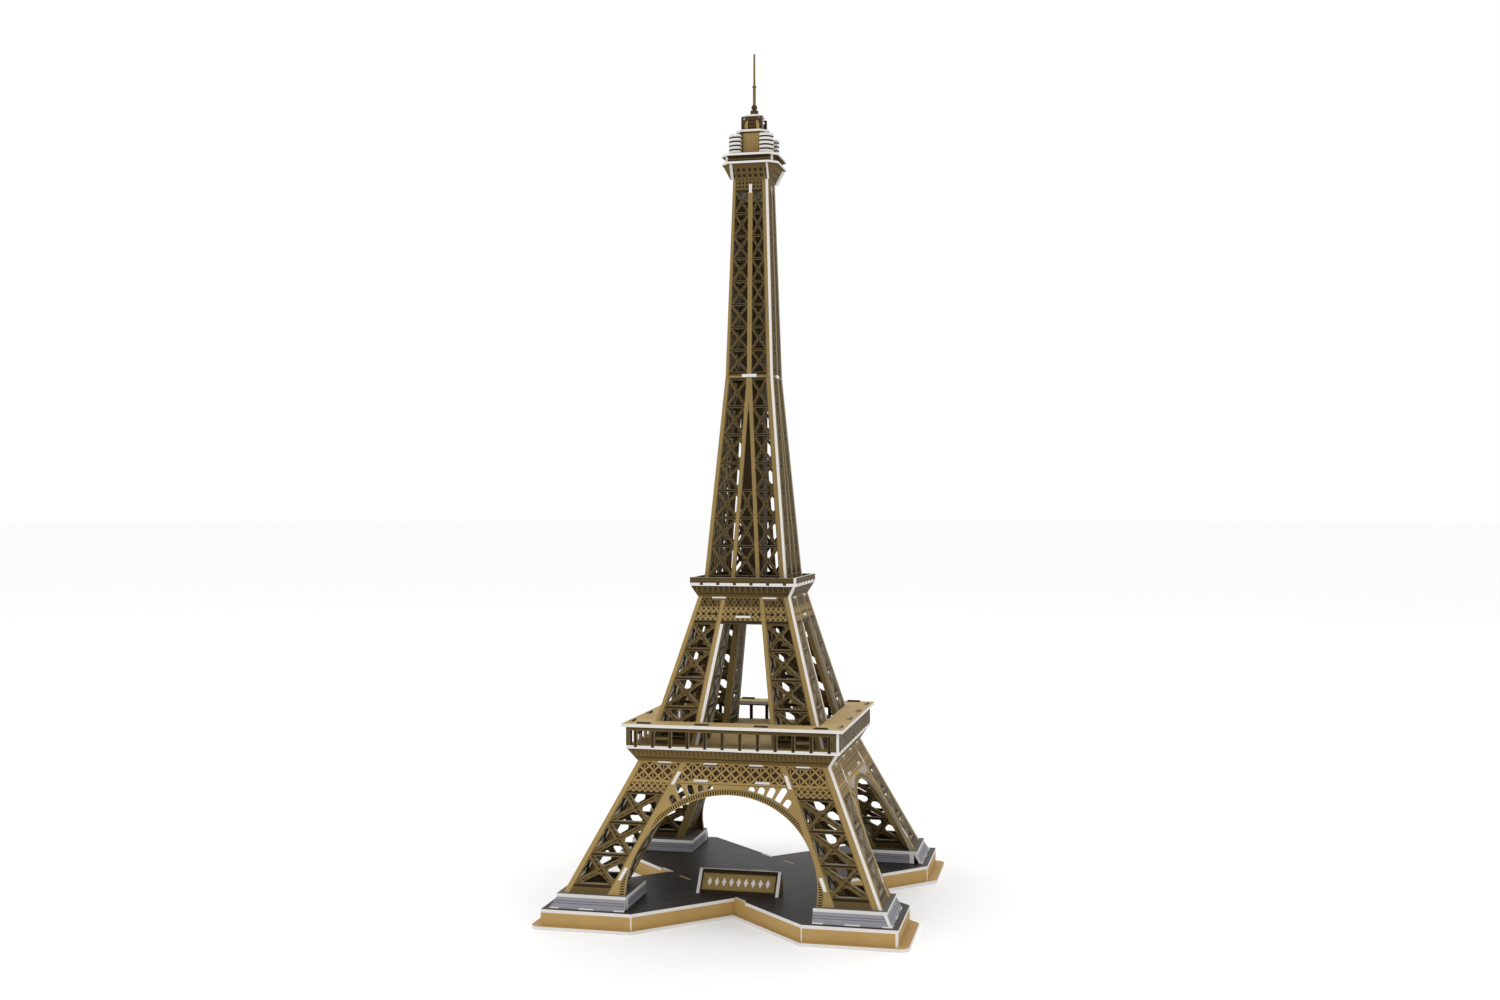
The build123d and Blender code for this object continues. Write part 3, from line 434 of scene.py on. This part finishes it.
def makeShaftLower():
    s = shaft
    finish = Finish("shaftLowerPrint")
    z = finish.z
    side = Side(finish, s["lowerRun"])
    half = line(z, s["foot"], s["footHalf"], s["joint"], s["jointHalf"])
    slant = line(z, s["foot"], s["innerFoot"], s["meetHeight"], s["innerMeet"])
    middle = slant.most(s["innerMeet"] / 2)
    beside = side.off - middle
    width = half - middle - s["innerStrip"] / 2 - s["strip"] - gauge / 2
    bays = Bays(finish, beside - s["innerStrip"] / 2, width, -0.028, s["rails"])
    centre = Bays(finish, side.along + slant, slant * 2, -0.117, s["rails"])
    outerPart = latticePrint(finish, bays, s["rails"][0], s["barHalf"], s["railHalf"])
    innerPart = latticePrint(finish, centre, s["rails"][0], s["barHalf"], s["railHalf"])
    colour = finish.blend(beside.under(0.0), outerPart, innerPart)
    strips = abs(beside).under(s["innerStrip"] / 2).most(side.fromEdge.under(s["strip"]))
    colour = finish.blend(strips.most(z.over(s["capFoot"])), colour, inks["gold"])
    rims = side.fromEdge.between(s["strip"] - s["rim"], s["strip"]).most(
        z.between(s["capFoot"], s["capFoot"] + s["rim"]))
    colour = finish.blend(rims, colour, inks["goldDark"])
    # painted shade on the cut edges of the small openings
    bare = finish.blend(side.corner, inks["shadedCutHigh"], inks["foam"])
    return finish.done(shaded(finish, side, colour, 0.8), side.printed, bare=bare)


def makeShaftUpper():
    s = shaft
    finish = Finish("shaftUpperPrint")
    z = finish.z
    side = Side(finish)
    half = line(z, s["joint"], s["jointHalf"], s["top"], s["topHalf"])
    rails = [s["upperFirst"] + s["upperPitch"] * index for index in range(s["upperBays"] + 1)]
    width = half - s["centreStrip"] - s["upperStrip"] - gauge / 2
    bays = Bays(finish, side.off - s["centreStrip"], width, -0.03, rails)
    colour = latticePrint(finish, bays, s["upperFirst"], s["upperBarHalf"], s["upperRailHalf"])
    strips = side.off.under(s["centreStrip"]).most(side.fromEdge.under(s["upperStrip"]))
    # dotted band under the third platform
    rowRise = (z - s["dotFoot"] - s["rowShift"]).every(s["rowPitch"])
    dotRun = side.along.every(s["dotPitch"])
    spots = (dotRun * dotRun + rowRise * rowRise).under(s["dotSquare"], 0.5)
    band = finish.blend(spots, inks["goldDark"], inks["umber"])
    band = finish.blend(z.between(s["bandFoot"], s["dotFoot"] - 0.5), band, inks["umber"])
    inBand = z.over(s["bandFoot"]) * side.fromEdge.over(s["upperStrip"])
    colour = finish.blend(strips, colour, inks["gold"])
    colour = finish.blend(inBand, colour, band)
    rims = side.fromEdge.between(s["upperStrip"] - s["rim"], s["upperStrip"])
    colour = finish.blend(rims, colour, inks["goldDark"])
    # painted shade on the cut edges of the small openings
    bare = finish.blend(side.corner, inks["shadedCutHigh"], inks["foam"])
    return finish.done(shaded(finish, side, colour, 0.8), side.printed, bare=bare)


# Cornices, parapet and gallery
cornices = {
    "lower": {"foot": 134.7, "top": 146.4, "pitch": 3.9, "shift": -0.8, "run": 3.35,
              "low": inks["goldDark"], "high": inks["olive"]},
    "middle": {"foot": 277.9, "top": 287.9, "pitch": 5.0, "shift": 1.9, "run": 3.2,
               "low": inks["olive"], "high": inks["oliveDark"]},
}


def makeCornice(name):
    s = cornices[name]
    finish = Finish(name + "CornicePrint")
    side = Side(finish, s["run"])
    rise = (finish.z - s["foot"]) / (s["top"] - s["foot"])
    colour = finish.blend(rise.over(0.4, 0.7), s["low"], s["high"])
    ticks = (side.along - s["shift"]).every(s["pitch"]).under(0.3, 0.35) * rise.between(0.42, 0.96, 0.1)
    colour = finish.blend(ticks * 0.55, colour, inks["gold"])
    colour = finish.blend(rise.between(0.27, 0.33, 0.05).most(rise.over(0.95, 0.04)), colour, inks["umber"])
    return finish.done(shaded(finish, side, colour), side.printed)


gallery = {"beam": 162.3, "beamMiddle": 164.6, "postPitch": 15.7, "postWidth": 2.9}


def makeArcade():
    s = gallery
    finish = Finish("arcadePrint")
    side = Side(finish)
    post = (side.along + s["postPitch"] / 2).every(s["postPitch"])
    colour = finish.blend(post.over(s["postWidth"] * 0.28), inks["umber"], inks["olive"])
    beam = finish.blend(finish.z.over(s["beamMiddle"], 0.5), inks["olive"], inks["oliveDark"])
    beam = finish.blend(finish.z.between(s["beam"], s["beam"] + 0.7), beam, inks["goldDark"])
    colour = finish.blend(finish.z.over(s["beam"]), colour, beam)
    # painted shade on the cut edges of the small openings
    bare = finish.blend(side.corner, inks["shadedCutLow"], inks["foam"])
    return finish.done(shaded(finish, side, colour), side.printed, bare=bare)


def makeLevel(name, colour):
    # a level sheet, printed on its two faces, with painted shade on its underside
    finish = Finish(name)
    shown = finish.tinted(colour, finish.noise(0.03, 4.0, (1.0, 1.0, 0.2)) * 0.16 + 0.92)
    below = finish.nz < 0
    return finish.done(finish.tinted(shown, 1 - below * 0.35), abs(finish.nz) > 0.5)


def makeTiePlates(name, levels):
    # each tab let into a leaning board shows only a narrow line of bare foam
    finish = Finish(name)
    level = abs(finish.nz) > 0.5
    bare = finish.z.between(*levels[0])
    for low, high in levels[1:]:
        bare = bare.most(finish.z.between(low, high))
    colour = finish.blend(level, inks["goldDark"], inks["olive"])
    # painted shade: the undersides of the level tabs are darker
    return finish.done(finish.tinted(colour, 1 - (finish.nz < 0) * level * 0.35), 1 - bare * (1 - level))


parapet = {"top": 295.6, "rim": 0.8, "dotFoot": 291.9, "dotTop": 294.3, "dotPitch": 1.9}


def makeParapet():
    s = parapet
    finish = Finish("parapetPrint")
    side = Side(finish)
    dots = side.along.every(s["dotPitch"]).under(0.45) * finish.z.between(s["dotFoot"], s["dotTop"])
    colour = finish.blend(dots * 0.7, inks["oliveDark"], inks["goldDark"])
    colour = finish.blend(finish.z.over(s["top"] - s["rim"]), colour, inks["olive"])
    return finish.done(shaded(finish, side, colour), side.printed)


# Base
base = {"half": 152.9, "armEnd": 80.0}


def makeSkirt():
    finish = Finish("skirtPrint")
    side = Side(finish)
    bend = abs(side.off - (base["half"] - base["armEnd"])).under(0.55)
    onEnd = side.out.over(base["half"] - gauge - 0.2)
    level = abs(finish.nz) > 0.5
    colour = finish.tinted(inks["tan"], finish.noise(0.02, 3.0) * 0.08 + 0.96)
    return finish.done(colour, (1 - level) * (1 - bend * onEnd) * (1 - onEnd * (1 - side.printed)), 0.5)


def makeDeck():
    finish = Finish("deckPrint")
    printed = abs(finish.nz) > 0.5
    # swirling dark paving, with faint lighter veins
    flow = finish.noise(0.018, 4.0, (1.0, 0.45, 1.0))
    veins = finish.noise(0.11, 6.0, (0.4, 1.6, 1.0))
    shade = (flow - 0.5) * 1.4 + (veins - 0.5) * 1.8 + 0.92
    return finish.done(finish.tinted(inks["charcoal"], shade), printed, 0.4)


plinth = {
    "bottom": 16.5, "lines": (22.4, 20.6), "run": 3.2, "outer": 135.0,
    "tabMiddle": 114.5, "tabPitch": 31.0, "tabHalf": 6.5, "tabTall": 0.9,
}


def makePlinthWalls():
    s = plinth
    finish = Finish("plinthWallPrint")
    side = Side(finish, s["run"])
    level = abs(finish.nz) > 0.8
    first, second = s["lines"]
    colour = finish.blend(finish.z.between(first - 0.35, first + 0.35), inks["slate"], inks["slateDark"])
    colour = finish.blend(finish.z.between(second - 0.35, second + 0.35), colour, inks["slateDark"])
    outer = side.out.over(s["outer"])
    # each outer wall shows two tabs of the deck at its foot
    tabs = (side.off - s["tabMiddle"]).every(s["tabPitch"]).under(s["tabHalf"])
    tabs = tabs * finish.z.under(s["bottom"] + s["tabTall"]) * outer
    colour = finish.blend(tabs, colour, inks["foam"])
    atEnd = outer * (1 - side.printed)
    return finish.done(colour, (1 - level) * (1 - atEnd))


# Nameplate: woven gold panel in a dark border, with no lettering
nameplate = {
    "half": 34.4, "foot": 16.5, "top": 35.1, "side": 1.6, "edge": 3.0,
    "pitch": 6.6, "steep": 1.7, "tall": 3.4, "middle": 25.8, "row": 29.7,
}


def makeNameplate():
    s = nameplate
    finish = Finish("nameplatePrint")
    x, z = finish.x, finish.z
    printed = abs(finish.ny) > 0.3
    weave = x.every(1.5).under(0.32).most(z.every(1.5).under(0.32))
    colour = finish.blend(weave * 0.6, inks["gold"], inks["goldDark"])
    # a row of plain lozenges
    lozenge = (x.every(s["pitch"]) * s["steep"] + abs(z - s["middle"])).under(s["tall"])
    colour = finish.blend(lozenge * abs(x).under(s["row"]), colour, inks["foam"])
    border = (s["half"] - abs(x)).under(s["side"]).most((s["top"] - z).under(s["edge"])).most(
        (z - s["foot"]).under(s["edge"]))
    colour = finish.blend(border, colour, inks["umber"])
    rule = (s["half"] - abs(x) - s["side"] - 0.9).least(
        (s["top"] - z - s["edge"]).least(z - s["foot"] - s["edge"]))
    colour = finish.blend(rule.between(0.0, 0.7), colour, inks["goldDark"])
    # painted shade: the back of the plate is darker
    back = finish.ny > 0
    return finish.done(finish.tinted(colour, 1 - back * 0.4), printed)


def makeProps():
    finish = Finish("propPrint")
    return finish.done(inks["olive"], abs(finish.nx) > 0.5)


# Third platform
thirdPlatform = {
    "fasciaFoot": 675.1, "fasciaTop": 680.6, "fasciaInner": 20.2,
    "cabinFloor": 682.6, "cabinTop": 704.5, "cabinHalf": 8.85,
}


topCornice = {
    "row": 663.6, "rowPitch": 4.4, "pitch": 5.2, "dotFoot": 661.4, "dotTop": 670.6, "dotSquare": 2.9,
    "rimFoot": 671.2,
}


def makeTopCornice():
    s = topCornice
    finish = Finish("topCornicePrint")
    x, y, z = abs(finish.x), abs(finish.y), finish.z
    nx, ny = abs(finish.nx), abs(finish.ny)
    off = x.least(y)
    row = (z - s["row"]).every(s["rowPitch"])
    across = off.every(s["pitch"])
    spot = (across * across + row * row).under(s["dotSquare"], 0.9)
    colour = finish.blend(spot * z.between(s["dotFoot"], s["dotTop"]), inks["olive"], inks["umber"])
    web = (off + z).every(s["pitch"]).least((off - z).every(s["pitch"])).under(0.35)
    colour = finish.blend(web * 0.5, colour, inks["goldDark"])
    colour = finish.blend(z.over(s["rimFoot"]), colour, inks["olive"])
    # boards set across the corners are plainer, and every board's upright edges are bare
    diagonal = nx.least(ny) > 0.35
    colour = finish.blend(diagonal, colour, inks["olive"])
    outward = abs(finish.nx * finish.x.sign() + finish.ny * finish.y.sign()) > 0.5
    squareEdge = (y > x) * (nx > 0.8) + (x > y) * (ny > 0.8)
    return finish.done(colour, outward * (1 - squareEdge))


def makeFascia():
    s = thirdPlatform
    finish = Finish("fasciaPrint")
    x, z = abs(finish.x), finish.z
    middle = (s["fasciaFoot"] + s["fasciaTop"]) / 2
    colour = finish.blend(abs(z - middle).under(0.5), inks["oliveDark"], inks["goldDark"])
    colour = finish.blend(z.over(s["fasciaTop"] - 0.9), colour, inks["umber"])
    end = (x > s["fasciaInner"]) * (abs(finish.ny) > 0.5)
    return finish.done(colour, 1 - end)


def facesOut(finish):
    # the printed faces of boards that stand square to the axes
    x, y = abs(finish.x), abs(finish.y)
    return (y > x) * (abs(finish.ny) > 0.5) + (x > y) * (abs(finish.nx) > 0.5)


def makeCabin():
    s = thirdPlatform
    finish = Finish("cabinPrint")
    z = finish.z
    off = abs(finish.x).least(abs(finish.y))
    grid = off.every(2.1).under(0.22).most(z.every(2.4).under(0.22))
    colour = finish.blend(grid * 0.6, inks["gold"], inks["olive"])
    rim = off.over(s["cabinHalf"] - 1.6).most((s["cabinTop"] - z).under(1.2))
    foot = (z - s["cabinFloor"]).under(3.0)
    colour = finish.blend(rim, colour, inks["olive"])
    colour = finish.blend(foot, colour, inks["olive"])
    return finish.done(colour, facesOut(finish))


cupola = {
    "foot": 706.5, "archRise": 4.4, "archRadius": 7.3, "doorHalf": 4.0, "slatHalf": 3.6, "slatPitch": 3.4,
}


def makeCupola():
    # printed arch: a dark slatted door between two lighter jambs, darker print outside the arch
    s = cupola
    finish = Finish("cupolaPrint")
    x, z = abs(finish.x), finish.z
    rise = (z - s["foot"] - s["archRise"]).most(0.0)
    reach = (x * x + rise * rise).root()
    colour = finish.blend(reach.under(s["archRadius"]), inks["oliveDark"], inks["gold"])
    colour = finish.blend(reach.between(s["archRadius"] - 0.4, s["archRadius"] + 0.3), colour, inks["umber"])
    colour = finish.blend(x.under(s["doorHalf"]), colour, inks["redBrown"])
    slats = z.every(s["slatPitch"]).under(0.35) * x.under(s["slatHalf"])
    colour = finish.blend(slats * 0.6, colour, inks["goldDark"])
    # painted shade: the back half of the cupola is darker
    return finish.done(finish.tinted(colour, 1 - (finish.y > 0) * 0.2), abs(finish.ny) > 0.5)


def makePlain(name, colour, gloss=0.45):
    # one print colour all over
    return Finish(name).done(colour, 1.0, gloss)


def makeWhite(name):
    # bare board, with a painted shadow on its underside
    finish = Finish(name)
    below = finish.nz < -0.5
    printed = below.most(finish.nz.over(0.9) * 0.6)
    return finish.done(finish.blend(below, inks["foam"], inks["shadow"]), printed)


def makeMast():
    # satin bronze moulding, a little rubbed in streaks along its length
    finish = Finish("mastBronze")
    rub = finish.noise(0.3, 3.0, (1.0, 1.0, 0.15))
    colour = finish.tinted(inks["bronze"], rub * 0.5 + 0.72)
    return finish.done(colour, 1.0, 0.24, 0.25)


four = ("front", "right", "back", "left")
legs = ("front_left", "front_right", "back_right", "back_left")
dress = {
    "base_plate": makeLevel("basePlatePrint", inks["tan"]),
    "base_ribs": makePlain("ribPrint", inks["tan"]),
    "base_deck": makeDeck(),
    "nameplate": makeNameplate(),
    "nameplate_props": makeProps(),
    "plinth_walls": makePlinthWalls(),
    "plinth_caps": makeLevel("plinthCapPrint", inks["capGrey"]),
    "lower_cornice": makeCornice("lower"),
    "middle_cornice": makeCornice("middle"),
    "gallery_floor": makeLevel("galleryFloorPrint", inks["warmTan"]),
    "gallery_roof": makeLevel("galleryRoofPrint", inks["warmTan"]),
    "middle_deck": makeLevel("middleDeckPrint", inks["olive"]),
    "middle_parapet": makeParapet(),
    "lower_tie_plates": makeTiePlates("lowerTiePrint", ((119.2, 121.1), (133.4, 134.8))),
    "middle_tie_plates": makeTiePlates("middleTiePrint", ((259.4, 261.3), (276.6, 278.0))),
    "mid_shaft_plate": makeLevel("shadePrint", inks["olive"]),
    "shaft_spreader": makePlain("spreaderPrint", inks["foam"], 0.8),
    "core_walls": makePlain("corePrint", inks["oliveDark"]),
    "top_cornice": makeTopCornice(),
    "top_decks": makeLevel("topDeckPrint", inks["goldDark"]),
    "top_fascia": makeFascia(),
    "cabin_walls": makeCabin(),
    "cabin_roof": makeLevel("cabinRoofPrint", inks["oliveDark"]),
    "corner_discs": makeWhite("discBoard"),
    "cupola": makeCupola(),
    "cupola_cap": makeWhite("capBoard"),
    "mast_base": makePlain("mastBasePrint", inks["oliveDark"], 0.35),
    "antenna_mast": makeMast(),
}
skirt = makeSkirt()
dress["base_end_walls"] = dress["base_notch_walls"] = skirt
lowerFacade, arcade, middleFacade = makeLowerFacade(), makeArcade(), makeMiddleFacade()
shaftLower, shaftUpper = makeShaftLower(), makeShaftUpper()
lowerLeg, middleLeg = (makeLegPanel("lowerLegPrint", lowerStage, legInside()),
                       makeLegPanel("middleLegPrint", middleStage, portalEdge()))
for name in four:
    dress["lower_facade_" + name] = lowerFacade
    dress["gallery_arcade_" + name] = arcade
    dress["middle_facade_" + name] = middleFacade
    dress["shaft_lower_" + name] = shaftLower
    dress["shaft_upper_" + name] = shaftUpper
for name in legs:
    dress["lower_leg_" + name] = lowerLeg
    dress["middle_leg_" + name] = middleLeg
for name, piece in nodes.items():
    piece.data.materials.clear()
    piece.data.materials.append(dress[name])
print("finishes on", len(dress), "nodes")

# Floor and light
studio = {
    "floorRadius": 30.0, "floorTint": (0.97, 0.97, 0.97, 1.0), "worldLight": 1.0,
    "lampAim": (0.0, 0.0, 0.35),
}


def makeFloor():
    mesh = bmesh.new()
    bmesh.ops.create_circle(mesh, cap_ends=True, radius=studio["floorRadius"], segments=128)
    data = bpy.data.meshes.new("studioFloor")
    mesh.to_mesh(data)
    mesh.free()
    floor = bpy.data.objects.new("studioFloor", data)
    bpy.context.scene.collection.objects.link(floor)
    material = bpy.data.materials.new("studioFloorPaint")
    material.use_nodes = True
    shader = material.node_tree.nodes["Principled BSDF"]
    shader.inputs["Base Color"].default_value = studio["floorTint"]
    shader.inputs["Roughness"].default_value = 0.9
    data.materials.append(material)


def makeLamp(name, place, size, power):
    lamp = bpy.data.lights.new(name, "AREA")
    lamp.shape, lamp.size, lamp.size_y = "RECTANGLE", size, size
    lamp.energy = power
    holder = bpy.data.objects.new(name, lamp)
    holder.location = place
    holder.rotation_euler = (Vector(studio["lampAim"]) - Vector(place)).to_track_quat("-Z", "Y").to_euler()
    bpy.context.scene.collection.objects.link(holder)


def makeCamera():
    # stands off to the right, level with the middle of the tower
    lens = bpy.data.cameras.new("camera")
    lens.sensor_width, lens.lens = 36.0, 36.80
    lens.clip_end = 200.0
    camera = bpy.data.objects.new("camera", lens)
    camera.location = (0.3055, -1.391, 0.363)
    camera.rotation_euler = (math.radians(90.10), 0.0, math.radians(12.549))
    bpy.context.scene.collection.objects.link(camera)
    bpy.context.scene.camera = camera


makeFloor()
makeLamp("keyLamp", (-1.6, -2.2, 2.4), 1.8, 15.0)
makeLamp("fillLamp", (2.2, -1.6, 1.6), 1.6, 6.0)
makeLamp("backLamp", (0.4, 2.4, 2.2), 1.8, 9.0)
makeCamera()
world = bpy.data.worlds.new("studioLight")
world.use_nodes = True
world.node_tree.nodes["Background"].inputs["Color"].default_value = (1.0, 1.0, 1.0, 1.0)
world.node_tree.nodes["Background"].inputs["Strength"].default_value = studio["worldLight"]
bpy.context.scene.world = world
bpy.context.scene.view_settings.view_transform = "Standard"
print("studio set")
